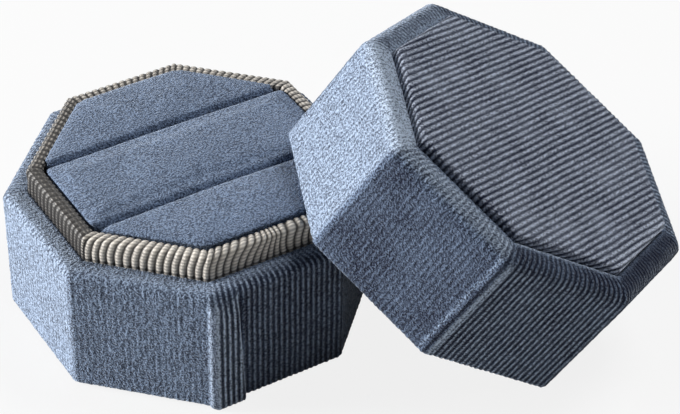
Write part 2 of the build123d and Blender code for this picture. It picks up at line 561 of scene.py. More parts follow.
def by_side(turn: float, values: tuple[float, ...]) -> float:
    """A value that each side of the octagon has, blended over its corners.

    Args:
        turn: share of the way round, from the middle of the +X side.
        values: the sides' values, anticlockwise from the +X side.

    Returns:
        The value at that turn.
    """
    place = turn * SIDES - 0.5
    corner = round(place)
    share = smooth_step(-0.06, 0.06, place - corner)
    before, after = values[corner % SIDES], values[(corner + 1) % SIDES]
    return before + (after - before) * share


def shaken(place: Vector, grain_mm: float) -> float:
    """Noise between -1 and 1 at a place in millimetres; a shifted place gives other noise."""
    return noise.noise(place / grain_mm)


def write_mesh(
    bm: bmesh.types.BMesh,
    name: str,
    finish: Finish,
    matrix: Matrix,
    spots: list[Spot] | None = None,
    around: float = 0.0,
) -> bpy.types.Object:
    """Makes an object of a mesh in millimetres, placed by a matrix in metres.

    Args:
        bm: the mesh, which is freed.
        name: the object's name.
        finish: its material.
        matrix: where it goes; it is applied to the mesh.
        spots: each vertex's place in the cloth, for the UV map.
        around: the cloth's length round the box, in millimetres.

    Returns:
        The object, at the origin, smooth shaded, with no pile pressed into the floor.
    """
    bm.verts.index_update()
    if spots:
        cloth = bm.loops.layers.uv.new("cloth")
        for face in bm.faces:
            turns = [spots[loop.vert.index].turn for loop in face.loops]
            seam = max(turns) - min(turns) > 0.5
            for loop, turn in zip(face.loops, turns):
                wrapped = turn + 1 if seam and turn < 0.5 else turn
                loop[cloth].uv = (wrapped * around * MM, spots[loop.vert.index].along * MM)
    for face in bm.faces:
        face.smooth = True
    bmesh.ops.transform(bm, matrix=matrix @ Matrix.Scale(MM, 4), verts=bm.verts)
    for vert in bm.verts:
        vert.co.z = max(0.0, vert.co.z)
    mesh = bpy.data.meshes.new(name)
    bm.to_mesh(mesh)
    bm.free()
    mesh.materials.append(finish.material)
    piece = bpy.data.objects.new(name, mesh)
    bpy.context.scene.collection.objects.link(piece)
    return piece


def dress(piece: bpy.types.Object, body: str, slot: str, *nodes: str) -> bpy.types.Object:
    """Rides a piece on a body, in the place of CAD nodes, and logs it.

    Args:
        piece: the piece.
        body: the body that it moves with.
        slot: the record's material slot; not used.
        nodes: the CAD nodes that it stands for.

    Returns:
        The piece.
    """
    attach(piece, body)
    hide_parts(*nodes)
    LOG.info("%s: %d faces, rides on %s", piece.name, len(piece.data.polygons), body)
    return piece


# ------------------------------------------------------------------------------- the sub-parts
@dataclass
class NeedlecordWrap:
    """Needlecord round the walls of the base or the lid, its wales parallel to the axis."""

    name: str
    body: str
    node: str
    matrix: Matrix
    half: float
    wales_per_side: int = 24
    wale_height: float = 0.17
    crest_over: float = 0.06
    crest_sharpness: float = 7.0
    gap_shade: float = 0.93
    wander: float = 0.12
    wander_length: float = 9.0
    tuft_height: float = 0.09
    tuft_width: float = 0.33
    clump_share: float = 0.6
    clump_width: float = 0.8
    columns_per_wale: int = 6
    corner: float = 1.3
    row: float = 0.42
    # Painted light and shade on each side, anticlockwise from the +X side
    painted_light_by_side: tuple[float, ...] = (0.0, 0.0, 0.0, 0.15, 0.32, 0.05, 0.3, 0.0)
    # How much the wales show on each side, in relief and in the painted shade between them
    wales_shown_by_side: tuple[float, ...] = (0.8, 0.8, 0.8, 0.6, 0.3, 0.22, 1.0, 1.0)

    def profile(self) -> Profile:
        """The section of the cloth, which each half of the box gives."""
        raise NotImplementedError

    def shape(self, spot: Spot) -> tuple[float, float, float]:
        """What a half of the box does to its cloth at one spot.

        Args:
            spot: the place.

        Returns:
            How far the cloth stands out, how much of the wales shows, and the painted light and shade.
        """
        return 0.0, 1.0, 0.0

    def build(self) -> bpy.types.Object:
        """Builds the wrap, with its wales and tufts as real relief."""
        columns = SIDES * self.wales_per_side * self.columns_per_wale
        bm, spots = wrap_cloth(self.profile(), columns, self.corner)
        ridge_layer = bm.verts.layers.float.new("ridge")
        painted_light_layer = bm.verts.layers.float.new("painted_light")
        shifts = []
        for vert, spot in zip(bm.verts, spots):
            out, shown, painted_light = self.shape(spot)
            shown *= by_side(spot.turn, self.wales_shown_by_side)
            wander = self.wander * shaken(vert.co + Vector((0, 0, 40)), self.wander_length)
            ridge = wale(spot.turn * SIDES * self.wales_per_side + wander)
            clump = shaken(vert.co + Vector((9, 9, 9)), self.clump_width)
            tuft = shaken(vert.co, self.tuft_width) + self.clump_share * clump
            relief = self.crest_over - self.wale_height * shown * (1 - ridge) + self.tuft_height * tuft
            # Painted light and shade by side: below zero it darkens the crests as painted shade, above
            # zero it is a painted sheen
            painted_light += by_side(spot.turn, self.painted_light_by_side)
            painted_shade_scale = 1 + min(0.0, painted_light)
            gap = shown * (1 - ridge ** (1 + self.crest_sharpness * shown))
            vert[ridge_layer] = (1 - self.gap_shade * gap) * painted_shade_scale
            vert[painted_light_layer] = max(0.0, painted_light) * (1 - gap)
            shifts.append(vert.normal * (out + relief))
        for vert, shift in zip(bm.verts, shifts):
            vert.co += shift
        around = 2 * SIDES * octagon_corner(self.half)
        return write_mesh(bm, self.name, Finish.WRAP, self.matrix, spots, around)

    def dress(self) -> bpy.types.Object:
        """Builds the wrap and puts it in the place of its CAD node."""
        return dress(self.build(), self.body, "blue_velvet", self.node)


@dataclass
class BaseWrap(NeedlecordWrap):
    """The base's needlecord, whose end laps over the front corner on to the next side."""

    height: float = 23.0
    underside: float = 0.4
    thickness: float = 1.05
    foot_round: float = 0.7
    shoulder_round: float = 1.2
    collar_half: float = 24.25
    tuck_foot: float = 14.95
    margin_half: float = 20.0
    turned: float = 0.7
    lap_corner: float = 5.5
    lap_width: float = 4.3
    lap_slant: float = 1.3
    lap_height: float = 0.85
    lap_round: float = 0.5
    dent_depth: float = 0.55
    dent_down: float = 1.9
    dent_width: float = 1.6
    dent_height: float = 1.3
    fringe_in: float = 0.2
    fringe_width: float = 0.25
    shadow_out: float = 0.5
    shadow_width: float = 0.4

    def profile(self) -> Profile:
        """From the margin under the floor, up the wall, over the shoulder and down by the collar."""
        foot, shoulder = self.foot_round, self.shoulder_round
        inner = self.half - self.thickness
        top = self.height - self.thickness
        section = Profile()
        section.line(self.margin_half, self.underside)
        section.line(self.half - foot, self.underside, 2.5)
        section.arc(self.half - foot, self.underside + foot, foot, -90, 4)
        section.line(self.half, self.height - shoulder, self.row)
        section.arc(self.half - shoulder, self.height - shoulder, shoulder, 0, 5)
        section.line(self.collar_half, self.height, self.row)
        section.line(self.collar_half, self.tuck_foot, 2.0)
        section.line(self.collar_half + 0.8, self.tuck_foot)
        section.line(self.collar_half + 0.8, top)
        section.line(inner, top)
        section.line(inner, self.underside + self.turned)
        section.line(self.margin_half, self.underside + self.turned)
        return section

    def shape(self, spot: Spot) -> tuple[float, float, float]:
        """The lap over the corner, with the dent that was pressed in under the shoulder, and their painted
        light and shade.
        """
        outer = smooth_step(self.collar_half, self.half - 0.3, spot.half)
        side = 2 * octagon_corner(self.half)
        past = (spot.turn * SIDES - self.lap_corner) * side
        down = self.height - spot.level
        end = self.lap_width + self.lap_slant * down / self.height
        lapped = smooth_step(-1.2, 0.8, past) * (1 - smooth_step(end - self.lap_round, end, past))
        lapped *= smooth_step(0.4, 2.2, down)
        dent = bump_at(end * 0.6, self.dent_width, past) * bump_at(self.dent_down, self.dent_height, down)
        out = outer * (self.lap_height * lapped - self.dent_depth * dent)
        below = smooth_step(0.6, 1.6, down)
        fringe = outer * bump_at(end - self.fringe_in, self.fringe_width, past) * below
        tucked = smooth_step(self.collar_half + 0.1, self.collar_half + 0.9, spot.half)
        shoulder = bump_at(0.0, 1.2, down) * tucked
        shadow = bump_at(end + self.shadow_out, self.shadow_width, past) * below
        # Painted highlights on the lap, its fringed cut edge and the shoulder; painted shade in the dent
        # and beside the collar; painted shadow past the lap's edge
        lighter = 0.8 * fringe + 0.12 * shoulder + 0.9 * lapped
        darker = 0.5 * dent + 0.4 * (1 - tucked) + 0.7 * shadow
        return out, (0.25 + 0.75 * outer) * (1 - fringe), lighter - darker


@dataclass
class LidWrap(NeedlecordWrap):
    """The lid's needlecord, turned in at the rim and over the border into the panel's recess."""

    border: float = 23.0
    recess: float = 21.0
    recess_half: float = 24.2
    recess_round: float = 0.5
    thickness: float = 1.05
    rim_round: float = 0.5
    rim_cloth: float = 1.0
    shoulder_round: float = 2.3
    inner_half: float = 24.65
    strip: float = 0.6
    turned_in: float = 5.0
    margin_half: float = 20.0
    seam_corner: float = 5.5
    seam_lines: tuple[float, float] = (-1.1, 0.9)
    seam_line_width: float = 0.3
    seam_hollow: float = -0.1
    seam_hollow_width: float = 0.5
    row: float = 0.48
    # Painted light and shade on each side's wall, how much its wales show in relief and painted shade, and
    # painted light and shade on each side's border
    painted_light_by_side: tuple[float, ...] = (-0.2, 0.0, 0.0, 0.1, 0.35, -0.45, 0.7, -0.6)
    wales_shown_by_side: tuple[float, ...] = (0.8, 0.8, 0.8, 0.6, 0.3, 0.5, 1.0, 1.0)
    border_painted_light: tuple[float, ...] = (0.7, 0.45, 0.35, 0.4, 0.8, 1.2, -0.9, -0.1)

    def profile(self) -> Profile:
        """From inside the rim, up the wall, over the border and down to under the panel."""
        board = self.half - self.thickness
        inner_board = self.recess_half + self.thickness
        rim, shoulder, mouth = self.rim_round, self.shoulder_round, self.recess_round
        section = Profile()
        section.line(self.inner_half, self.turned_in)
        section.line(self.inner_half, 0.35, 1.2)
        section.line(self.inner_half + 0.35, 0.0)
        section.line(self.half - rim, 0.0, 0.8)
        section.arc(self.half - rim, rim, rim, -90, 4)
        section.line(self.half, self.border - shoulder, self.row)
        section.arc(self.half - shoulder, self.border - shoulder, shoulder, 0, 9)
        section.line(self.recess_half + mouth, self.border, self.row)
        section.arc(self.recess_half + mouth, self.border - mouth, mouth, 90, 4)
        section.line(self.recess_half, self.recess, 0.6)
        section.line(self.margin_half, self.recess, 2.5)
        section.line(self.margin_half, self.recess - self.thickness)
        section.line(inner_board, self.recess - self.thickness)
        section.line(inner_board, self.border - self.thickness)
        section.line(board, self.border - self.thickness)
        section.line(board, self.rim_cloth)
        section.line(self.inner_half + self.strip, self.rim_cloth)
        section.line(self.inner_half + self.strip, self.turned_in)
        return section

    def shape(self, spot: Spot) -> tuple[float, float, float]:
        """Wales that fade inside the lid and in the recess, painted highlights on the wales beside the
        seam, painted shade in its hollow, and painted light and shade on the border by side.
        """
        outer = smooth_step(self.recess_half + 0.1, self.recess_half + 1.2, spot.half)
        shoulder = bump_at(self.border, 1.3, spot.level) * outer
        past = (spot.turn * SIDES - self.seam_corner) * 2 * octagon_corner(self.half)
        wall = outer * (1 - shoulder)
        lines = sum(bump_at(line, self.seam_line_width, past) for line in self.seam_lines) * wall
        hollow = bump_at(self.seam_hollow, self.seam_hollow_width, past) * wall
        edge = by_side(spot.turn, self.border_painted_light)
        # Painted highlights on the border and beside the seam, painted shade in the seam's hollow and on
        # dark border sides, a little lighter inside
        painted_light = edge * shoulder + 0.6 * lines - 0.6 * hollow + 0.1 * (1 - outer)
        return 0.0, outer * (1 - lines), painted_light


@dataclass
class RibbedCollar:
    """Ribbed ribbon folded over the collar, its ribs bent sideways where they go over the top."""

    matrix: Matrix
    half: float = 24.25
    inner_half: float = 21.85
    top: float = 27.6
    foot: float = 16.6
    ribbon: float = 0.45
    rounding: float = 0.85
    ribs_per_side: int = 16
    columns_per_rib: int = 10
    rib_height: float = 0.42
    crest_over: float = 0.06
    join: float = 6.06
    join_lean: float = 0.30
    join_straighter: float = -0.25
    # The rib pitch that the lean is worked out with, rounded
    lean_pitch: float = 1.24
    top_lean: float = -1.1
    crowding: float = -0.1
    wander: float = 0.12
    wander_length: float = 5.0
    shoulder: float = 23.0
    foot_shade: float = 0.5
    foot_shade_height: float = 0.9
    # Painted shade on each side of the ribbon, anticlockwise from the +X side
    shade: tuple[float, ...] = (0.1, 0.15, 0.25, 0.5, 0.74, -0.1, 0.0, 0.05)

    def profile(self) -> Profile:
        """From inside the wall, up the collar, over its top and down to the cushion."""
        section = Profile()
        section.line(self.half, self.foot)
        section.line(self.half, self.shoulder - 0.6)
        section.line(self.half, self.top - self.rounding, 0.45)
        section.arc(self.half - self.rounding, self.top - self.rounding, self.rounding, 0, 6)
        section.arc(self.inner_half + self.rounding, self.top - self.rounding, self.rounding, 90, 6)
        section.line(self.inner_half, self.top - 2.6, 0.45)
        section.line(self.inner_half, self.foot)
        section.line(self.inner_half + self.ribbon, self.foot)
        section.line(self.inner_half + self.ribbon, self.top - self.ribbon)
        section.line(self.half - self.ribbon, self.top - self.ribbon)
        section.line(self.half - self.ribbon, self.foot)
        return section

    def build(self) -> bpy.types.Object:
        """Builds the ribbon, each rib a round cord of relief."""
        columns = SIDES * self.ribs_per_side * self.columns_per_rib
        bm, spots = wrap_cloth(self.profile(), columns, 0.7)
        ridge_layer = bm.verts.layers.float.new("ridge")
        painted_light_layer = bm.verts.layers.float.new("painted_light")
        side = 2 * octagon_corner(self.half)
        rise = self.top - self.foot
        shifts = []
        for vert, spot in zip(bm.verts, spots):
            lean = self.top_lean * smooth_step(rise - 3.2, rise + 2.8, spot.along)
            from_join = (spot.turn * SIDES - self.join) * side
            up = max(0.0, spot.level - self.shoulder)
            slant = self.join_lean * bump_at(-3.0, 4.5, from_join)
            slant += self.join_straighter * bump_at(2.0, 2.0, from_join)
            crowd = self.crowding * math.sin(2 * math.pi * spot.turn * SIDES)
            wander = self.wander * shaken(vert.co + Vector((0, 30, 0)), self.wander_length)
            phase = spot.turn * SIDES * self.ribs_per_side + crowd + wander + lean
            phase -= slant * up / self.lean_pitch
            side_share = abs(2 * (phase % 1.0) - 1)
            ridge = math.sqrt(max(0.0, 1 - side_share**2))
            # The pale crest is narrowed, so painted shade darkens the flanks of each rib
            vert[ridge_layer] = smooth_step(0.35, 1.0, ridge) ** 1.8
            # Painted shade at the foot, where the ribbon meets the wall's shoulder
            foot_shade = self.foot_shade * (1 - smooth_step(0.0, self.foot_shade_height, up))
            vert[painted_light_layer] = foot_shade + by_side(spot.turn, self.shade)
            relief = self.crest_over - self.rib_height * (1 - ridge) + 0.02 * shaken(vert.co, 0.4)
            shifts.append(vert.normal * relief)
        for vert, shift in zip(bm.verts, shifts):
            vert.co += shift
        return write_mesh(bm, "ribbed_collar", Finish.RIBBON, self.matrix, spots, side * SIDES)

    def dress(self) -> bpy.types.Object:
        """Builds the ribbon and puts it in the place of its CAD node."""
        return dress(self.build(), "base", "ribbed_ribbon", "collar_ribbon")


@dataclass
class CordPanel:
    """The panel let into the lid's top: needlecord pulled over wadding, with straight wales."""

    matrix: Matrix
    half: float = 24.1
    foot: float = 21.0
    top: float = 24.6
    rounding: float = 0.8
    wale_angle: float = 38.5
    wale_pitch: float = 0.987
    wale_height: float = 0.2
    across_step: float = 0.15
    along_step: float = 0.34
    wander: float = 0.12
    wander_length: float = 7.0
    tuft_height: float = 0.09
    tuft_width: float = 0.3
    clump_share: float = 0.5
    clump_width: float = 0.8
    crest_sharpness: float = 2.6
    crown: float = 0.25
    lit_side: int = 7
    lit_width: float = 3.4
    # Painted sheen on all crests, a painted highlight by the lit side's edge, and painted sheen on rounded
    # edges facing away from it
    crest_painted_sheen: float = 0.42
    lit_edge_painted_light: float = 0.9
    far_edge_painted_sheen: float = 0.3

    def nearest_inside(self, x: float, y: float) -> tuple[float, float]:
        """The nearest point of the panel's flat top to a point of the sheet.

        Args:
            x: the point's place along X.
            y: the point's place along Y.

        Returns:
            The same point where it is on the flat top, or else the nearest one at its edge.
        """
        flat = self.half - self.rounding
        side = round(math.atan2(y, x) / SECTOR)
        heading = side * SECTOR
        cos, sin = math.cos(heading), math.sin(heading)
        out, across = x * cos + y * sin, y * cos - x * sin
        if out <= flat:
            return x, y
        reach = octagon_corner(flat)
        across = min(reach, max(-reach, across))
        return flat * cos - across * sin, flat * sin + across * cos

    def fold(self, flat_place: Vector) -> tuple[Vector, Vector]:
        """Lays a point of the flat sheet over the panel.

        Args:
            flat_place: the point in the sheet before it was folded.

        Returns:
            The point on the panel and the way that its surface faces.
        """
        x, y = flat_place.x, flat_place.y
        inside_x, inside_y = self.nearest_inside(x, y)
        over = math.hypot(x - inside_x, y - inside_y)
        if over < 1e-6:
            reach = math.hypot(x, y) / self.half
            sunk = 0.5 * self.crown * min(1.0, reach**4)
            return Vector((x, y, self.top - sunk)), Vector((0, 0, 1))
        outwards = Vector((x - inside_x, y - inside_y, 0)) / over
        edge = Vector((inside_x, inside_y, self.top - self.rounding - 0.5 * self.crown))
        turn = min(math.pi / 2, over / self.rounding)
        straight = max(0.0, over - self.rounding * math.pi / 2)
        facing = outwards * math.sin(turn) + Vector((0, 0, math.cos(turn)))
        return edge + facing * self.rounding - Vector((0, 0, straight)), facing

    def build(self) -> bpy.types.Object:
        """Builds the sheet flat, cuts it to its octagon, folds it over the panel and closes it."""
        drop = self.top - self.foot - self.rounding
        cut_half = self.half - self.rounding + self.rounding * math.pi / 2 + drop
        bm = bmesh.new()
        bmesh.ops.create_grid(
            bm,
            x_segments=round(2 * cut_half * 1.09 / self.along_step),
            y_segments=round(2 * cut_half * 1.09 / self.across_step),
            size=cut_half * 1.09,
        )
        bmesh.ops.rotate(bm, verts=bm.verts, matrix=Matrix.Rotation(math.radians(self.wale_angle), 3, "Z"))
        for side in range(SIDES):
            heading = side * SECTOR
            outwards = Vector((math.cos(heading), math.sin(heading), 0))
            bmesh.ops.bisect_plane(
                bm,
                geom=[*bm.verts, *bm.edges, *bm.faces],
                dist=1e-5,
                plane_co=outwards * cut_half,
                plane_no=outwards,
                clear_outer=True,
            )
        ridge_layer = bm.verts.layers.float.new("ridge")
        painted_light_layer = bm.verts.layers.float.new("painted_light")
        turn_back = Matrix.Rotation(-math.radians(self.wale_angle), 3, "Z")
        lit = Vector((math.cos(self.lit_side * SECTOR), math.sin(self.lit_side * SECTOR), 0))
        for vert in bm.verts:
            flat_place = vert.co.copy()
            across = (turn_back @ flat_place).y
            wander = self.wander * shaken(flat_place + Vector((0, 0, 60)), self.wander_length)
            ridge = wale(across / self.wale_pitch + wander, 2.0)
            clump = shaken(flat_place + Vector((5, 5, 5)), self.clump_width)
            tuft = shaken(flat_place, self.tuft_width) + self.clump_share * clump
            place, facing = self.fold(flat_place)
            vert.co = place + facing * (self.tuft_height * tuft - self.wale_height * (1 - ridge))
            edge = smooth_step(0.25, 0.8, 1 - facing.z)
            away = max(0.0, -lit.dot(facing))
            lit_edge = smooth_step(self.lit_width, 0.4, self.half - lit.dot(flat_place))
            # Painted shade between the wales, and painted sheen and highlights on the crests
            crest = ridge**self.crest_sharpness
            vert[ridge_layer] = 0.03 + 0.97 * crest
            painted_sheen = self.crest_painted_sheen + self.lit_edge_painted_light * lit_edge + self.far_edge_painted_sheen * edge * away
            vert[painted_light_layer] = painted_sheen * crest
        rim = [edge for edge in bm.edges if edge.is_boundary]
        under = bmesh.ops.extrude_edge_only(bm, edges=rim)["geom"]
        for vert in (part for part in under if isinstance(part, bmesh.types.BMVert)):
            vert.co = Vector((vert.co.x * 0.8, vert.co.y * 0.8, self.foot + 0.02))
        foot_edges = [part for part in under if isinstance(part, bmesh.types.BMEdge)]
        bmesh.ops.contextual_create(bm, geom=foot_edges)
        bmesh.ops.recalc_face_normals(bm, faces=bm.faces)
        return write_mesh(bm, "padded_panel", Finish.PANEL, self.matrix)

    def dress(self) -> bpy.types.Object:
        """Builds the panel and puts it in the place of the cloth and wadding."""
        piece = dress(self.build(), "lid", "needlecord", "lid_panel_cloth", "lid_panel_wadding")
        return piece


@dataclass
class PadCushion:
    """The ring cushion: three foam pads in velvet, with a slot between each pair."""

    half: float = 21.7
    foot: float = 4.1
    top: float = 28.2
    collar_top: float = 27.6
    slot_middle: float = 8.848
    slot_gap: float = 0.36
    shrink: float = 0.05
    edge_round: float = 0.8
    overhang: float = 1.0
    grown: float = 20.0
    voxel: float = 0.8
    cap: float = 0.12
    frames: int = 20
    pressure: float = 4.0
    crown: float = 0.5
    crown_length: float = 16.0
    crown_width: float = 9.0
    tuft_height: float = 0.05
    tuft_width: float = 0.4
    clump_share: float = 0.5
    clump_width: float = 1.0
    shade: float = 0.85

    def ranges(self) -> dict[str, tuple[float, float]]:
        """Each pad's name with the lines along X that it lies between."""
        far = self.slot_middle + self.slot_gap / 2
        near = self.slot_middle - self.slot_gap / 2
        return {"back": (far, self.half), "middle": (-near, near), "front": (-self.half, -far)}

    def block(self, low: float, high: float) -> bmesh.types.BMesh:
        """A pad before it is filled: the octagon's slice between two lines, with rounded edges.

        Args:
            low: the lower line.
            high: the upper line.

        Returns:
            The mesh, in millimetres.
        """
        bm = bmesh.new()
        reach = (self.half - self.shrink) / math.cos(SECTOR / 2)
        bmesh.ops.create_circle(bm, cap_ends=True, segments=SIDES, radius=reach)
        bmesh.ops.rotate(bm, verts=bm.verts, matrix=Matrix.Rotation(SECTOR / 2, 3, "Z"))
        for line, way in ((low + self.shrink * 0.5, -1), (high - self.shrink * 0.5, 1)):
            bmesh.ops.bisect_plane(
                bm,
                geom=[*bm.verts, *bm.edges, *bm.faces],
                plane_co=(0, line, 0),
                plane_no=(0, way, 0),
                clear_outer=True,
            )
        bmesh.ops.translate(bm, verts=bm.verts, vec=(0, 0, self.foot))
        raised = bmesh.ops.extrude_face_region(bm, geom=list(bm.faces))["geom"]
        tops = [part for part in raised if isinstance(part, bmesh.types.BMVert)]
        bmesh.ops.translate(bm, verts=tops, vec=(0, 0, self.top - self.shrink - self.foot))
        top_edges = [e for e in bm.edges if min(v.co.z for v in e.verts) > self.top - 1.5]
        bmesh.ops.bevel(
            bm,
            geom=top_edges,
            offset=self.edge_round,
            offset_type="OFFSET",
            affect="EDGES",
            segments=4,
            profile=0.5,
            material=-1,
        )
        bmesh.ops.recalc_face_normals(bm, faces=bm.faces)
        return bm

    def fill_out(self, name: str, bm: bmesh.types.BMesh) -> bpy.types.Mesh:
        """Swells a pad with Blender's cloth, at a grown size, and brings it back in millimetres.

        Args:
            name: the pad's name.
            bm: the block, which is freed.

        Returns:
            The filled mesh.
        """
        scale = self.grown * MM
        bmesh.ops.scale(bm, vec=(scale, scale, scale), verts=bm.verts)
        mesh = bpy.data.meshes.new(name + "_block")
        bm.to_mesh(mesh)
        bm.free()
        block = bpy.data.objects.new(name + "_block", mesh)
        bpy.context.scene.collection.objects.link(block)
        remesh = block.modifiers.new("voxels", "REMESH")
        remesh.mode = "VOXEL"
        remesh.voxel_size = self.voxel * scale
        start = bpy.data.meshes.new_from_object(block.evaluated_get(bpy.context.evaluated_depsgraph_get()))
        block.modifiers.clear()
        block.data = start
        filled = start
        cloth = block.modifiers.new("cloth", "CLOTH")
        cloth.settings.use_pressure = True
        cloth.settings.uniform_pressure_force = self.pressure
        cloth.settings.effector_weights.gravity = 0
        for frame in range(1, self.frames + 1):
            bpy.context.scene.frame_set(frame)
        graph = bpy.context.evaluated_depsgraph_get()
        filled = bpy.data.meshes.new_from_object(block.evaluated_get(graph))
        bpy.context.scene.frame_set(1)
        limit = self.cap * scale
        for vert, was in zip(filled.vertices, start.vertices):
            move = vert.co - was.co
            if move.length > limit:
                vert.co = was.co + move * (limit / move.length)
        block.modifiers.clear()
        filled = filled.copy()
        bpy.data.objects.remove(block)
        filled.transform(Matrix.Scale(1 / scale, 4))
        return filled

    def build(self, name: str, low: float, high: float) -> bpy.types.Object:
        """Builds one pad.

        Args:
            name: the pad's name.
            low: the lower line that it lies between.
            high: the upper line.

        Returns:
            The pad.
        """
        bm = bmesh.new()
        bm.from_mesh(self.fill_out(name, self.block(low, high)))
        bmesh.ops.smooth_vert(
            bm,
            verts=bm.verts,
            factor=0.5,
            use_axis_x=True,
            use_axis_y=True,
            use_axis_z=True,
        )
        bmesh.ops.subdivide_edges(bm, edges=bm.edges, cuts=2, use_grid_fill=True, smooth=0.6)
        bm.normal_update()
        ridge_layer = bm.verts.layers.float.new("ridge")
        painted_light_layer = bm.verts.layers.float.new("painted_light")
        middle = (low + high) / 2
        shifts = []
        for vert in bm.verts:
            x, y, z = vert.co
            swell = bump_at(0, self.crown_length, x) * bump_at(middle, self.crown_width, y) - 0.5
            crown = self.crown * swell * smooth_step(self.top - 3, self.top, z)
            clump = shaken(vert.co + Vector((3, 3, 3)), self.clump_width)
            tuft = shaken(vert.co, self.tuft_width) + self.clump_share * clump
            side = round(math.atan2(y, x) / SECTOR) * SECTOR
            outwards = Vector((math.cos(side), math.sin(side), 0))
            over = smooth_step(self.collar_top - 0.3, self.collar_top + 0.3, z)
            over *= smooth_step(self.half - 1.6, self.half - 0.1, outwards.dot((x, y, 0)))
            shift = outwards * (self.overhang * over) + Vector((0, 0, crown))
            shifts.append(vert.normal * (self.tuft_height * tuft) + shift)
            vert[ridge_layer] = self.shade
            vert[painted_light_layer] = 0.0
        for vert, shift in zip(bm.verts, shifts):
            vert.co += shift
        return write_mesh(bm, name, Finish.CUSHION, Matrix.Identity(4))

    def dress(self) -> None:
        """Builds the pads and puts each in the place of its foam and cover."""
        for name, (low, high) in self.ranges().items():
            piece = self.build(f"ring_pad_{name}", low, high)
            dress(piece, "base", "cushion_velvet", f"cushion_{name}_cover", f"cushion_{name}_foam")


@dataclass
class LidLining:
    """The padded lining under the lid's top."""

    matrix: Matrix
    half: float = 24.65
    top: float = 17.95
    depth: float = 2.0
    rounding: float = 0.9
    sag: float = 0.35
    rings: int = 6
    ring_width: float = 3.4

    def build(self) -> bpy.types.Object:
        """Builds the padded lining as a crowned octagonal pad, closed on all sides."""
        bm = bmesh.new()
        reach = (self.half - 0.15) / math.cos(SECTOR / 2)
        bmesh.ops.create_circle(bm, cap_ends=True, segments=SIDES, radius=reach)
        bmesh.ops.rotate(bm, verts=bm.verts, matrix=Matrix.Rotation(SECTOR / 2, 3, "Z"))
        bmesh.ops.translate(bm, verts=bm.verts, vec=(0, 0, self.top - 0.02))
        lowered = bmesh.ops.extrude_face_region(bm, geom=list(bm.faces))["geom"]
        fronts = [part for part in lowered if isinstance(part, bmesh.types.BMVert)]
        bmesh.ops.translate(bm, verts=fronts, vec=(0, 0, -self.depth))
        face = next(part for part in lowered if isinstance(part, bmesh.types.BMFace))
        bmesh.ops.bevel(
            bm,
            geom=list(face.edges),
            offset=self.rounding,
            offset_type="OFFSET",
            affect="EDGES",
            segments=4,
            profile=0.5,
            material=-1,
        )
        front = min(bm.faces, key=lambda f: f.calc_center_median().z)
        for _ in range(self.rings):
            bmesh.ops.inset_region(
                bm,
                faces=[front],
                thickness=self.ring_width,
                depth=0.0,
                use_even_offset=True,
            )
        bmesh.ops.triangulate(bm, faces=[front])
        bmesh.ops.subdivide_edges(bm, edges=bm.edges, cuts=2, use_grid_fill=True)
        for vert in bm.verts:
            if vert.co.z < self.top - self.depth + 0.3:
                share = math.hypot(vert.co.x, vert.co.y) / self.half
                vert.co.z -= self.sag * max(0.0, 1 - share**2)
        bmesh.ops.recalc_face_normals(bm, faces=bm.faces)
        return write_mesh(bm, "padded_lining", Finish.LINING, self.matrix)

    def dress(self) -> bpy.types.Object:
        """Builds the lining and puts it in the place of its CAD node."""
        piece = dress(self.build(), "lid", "lining", "lid_lining_cover", "lid_lining_card")
        return piece


# ------------------------------------------------------------------------------------- the box
@dataclass
class RingBox:
    """The whole box: its frame, where the lid is, and its sub-parts."""

    frame: dict
    lid_spin: float = 17.0
    card_middle: float = 21.9
    base_half: float = 28.0
    lid_half: float = 28.4

    def lid_matrix(self) -> Matrix:
        """Where the lid leans: its axis is its joint's, and the panel's card gives its place."""
        axis = Vector(self.frame["joints"][0]["axis"]).normalized()
        heading = math.atan2(axis.y, axis.x)
        tilt = math.acos(axis.z)
        low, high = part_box("lid_panel_card")
        rim_middle = (low + high) / 2 - axis * self.card_middle * MM
        turned = (
            Matrix.Rotation(heading, 4, "Z")
            @ Matrix.Rotation(tilt, 4, "Y")
            @ Matrix.Rotation(math.radians(self.lid_spin), 4, "Z")
        )
        return Matrix.Translation(rim_middle) @ turned

    def dress_boards(self) -> None:
        """Gives the pieces that keep their CAD shape their finishes."""
        finishes = {
            "base_underside_sheet": Finish.UNDERSIDE,
            "base_floor_board": Finish.BOARD,
            "base_wall_board": Finish.BOARD,
            "collar_board": Finish.BOARD,
            "cushion_card": Finish.CARD,
            "lid_wall_board": Finish.BOARD,
            "lid_top_board": Finish.BOARD,
            "lid_lining_strip": Finish.LINING,
            "lid_panel_card": Finish.CARD,
        }
        for name, finish in finishes.items():
            materials = self.frame["nodes"][name].data.materials
            materials.clear()
            materials.append(finish.material)
            LOG.info("%s: finish %s", name, finish.value.name)

    def build(self) -> None:
        """Builds and dresses every sub-part."""
        here = Matrix.Identity(4)
        lid = self.lid_matrix()
        BaseWrap("base_needlecord", "base", "base_velvet_wrap", here, self.base_half).dress()
        RibbedCollar(here).dress()
        PadCushion().dress()
        LidWrap("lid_needlecord", "lid", "lid_velvet_wrap", lid, self.lid_half).dress()
        CordPanel(lid).dress()
        LidLining(lid).dress()
        self.dress_boards()


